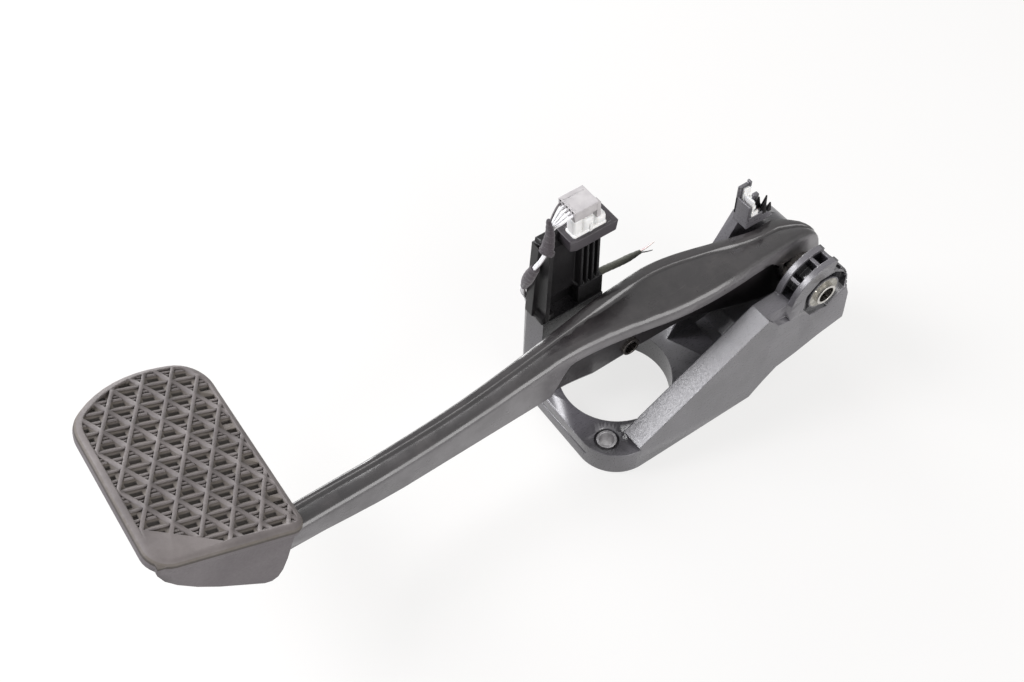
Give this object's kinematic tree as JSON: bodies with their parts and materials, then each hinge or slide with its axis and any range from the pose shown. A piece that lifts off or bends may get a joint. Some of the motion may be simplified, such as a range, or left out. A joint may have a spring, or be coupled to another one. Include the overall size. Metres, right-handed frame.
{
  "type": "brake pedal assembly",
  "caption": "Hanging brake pedal on a moulded bulkhead bracket, with a pressed steel lever, a rubber pad, a tube pivot and a connector tower with cut cable.",
  "frame": {"origin": "centre of the servo opening, in the mounting face that lies on the bulkhead", "axes": "+X along the bracket from the servo opening to the pedal pivot, +Y to the far side wall, +Z away from the bulkhead"},
  "size_m": [0.4, 0.1508, 0.15],
  "materials": {
    "moulded_plastic": "glass-filled nylon, satin, slightly grained",
    "post_plastic": "satin moulded plastic",
    "frame_plastic": "satin moulded plastic",
    "lever_paint": "black dipped paint, satin gloss",
    "plate_paint": "black dipped paint",
    "pad_rubber": "worn rubber, dusty on the tread",
    "sleeve_steel": "dull zinc plated steel",
    "flange_steel": "yellowish zinc plated steel",
    "tube_steel": "zinc plated steel",
    "pin_steel": "dark oiled steel",
    "spring_steel": "oiled spring steel",
    "terminal_metal": "tarnished terminals",
    "bush_nylon": "natural nylon",
    "white_nylon": "white nylon",
    "grey_nylon": "light grey nylon",
    "harness_tape": "black cloth harness tape",
    "white_wire": "white wire insulation",
    "dark_wire": "dark wire insulation",
    "pink_wire": "faded pink wire insulation",
    "bare_copper": "tinned copper strands",
    "cable_sheath": "olive grey cable sheath"
  },
  "bodies": {
    "bracket": {"pedal_bracket": "moulded_plastic", "mount_sleeves": "sleeve_steel", "near_bush": "flange_steel", "far_bush": "flange_steel", "pivot_tube": "tube_steel", "tube_retainer": "sleeve_steel", "switch_insert": "white_nylon", "tower_post": "post_plastic", "clip_frame": "frame_plastic", "white_connector": "white_nylon", "grey_connector": "grey_nylon", "connector_terminals": "terminal_metal", "tape_upper": "harness_tape", "tape_lower": "harness_tape", "wire_a": "white_wire", "wire_b": "white_wire", "wire_c": "dark_wire", "cut_cable": "cable_sheath", "bare_wire_a": "bare_copper", "bare_wire_b": "pink_wire", "bare_wire_c": "dark_wire"},
    "pedal": {"lever_cap": "lever_paint", "lever_channel": "lever_paint", "pivot_hub": "tube_steel", "hub_bush_near": "bush_nylon", "hub_bush_far": "bush_nylon", "return_spring": "spring_steel", "pushrod_sleeve": "pin_steel", "foot_plate": "plate_paint", "pad_rubber": "pad_rubber"}
  },
  "joints": [
    {"name": "pedal_swing", "type": "hinge", "parent": "bracket", "child": "pedal", "pos_m": [0.1033, -0.02, 0.066], "axis": [0, -1, 0], "range_deg": [0, 11], "stiffness_Nm_per_rad": 6, "springref_deg": -34.38}
  ]
}
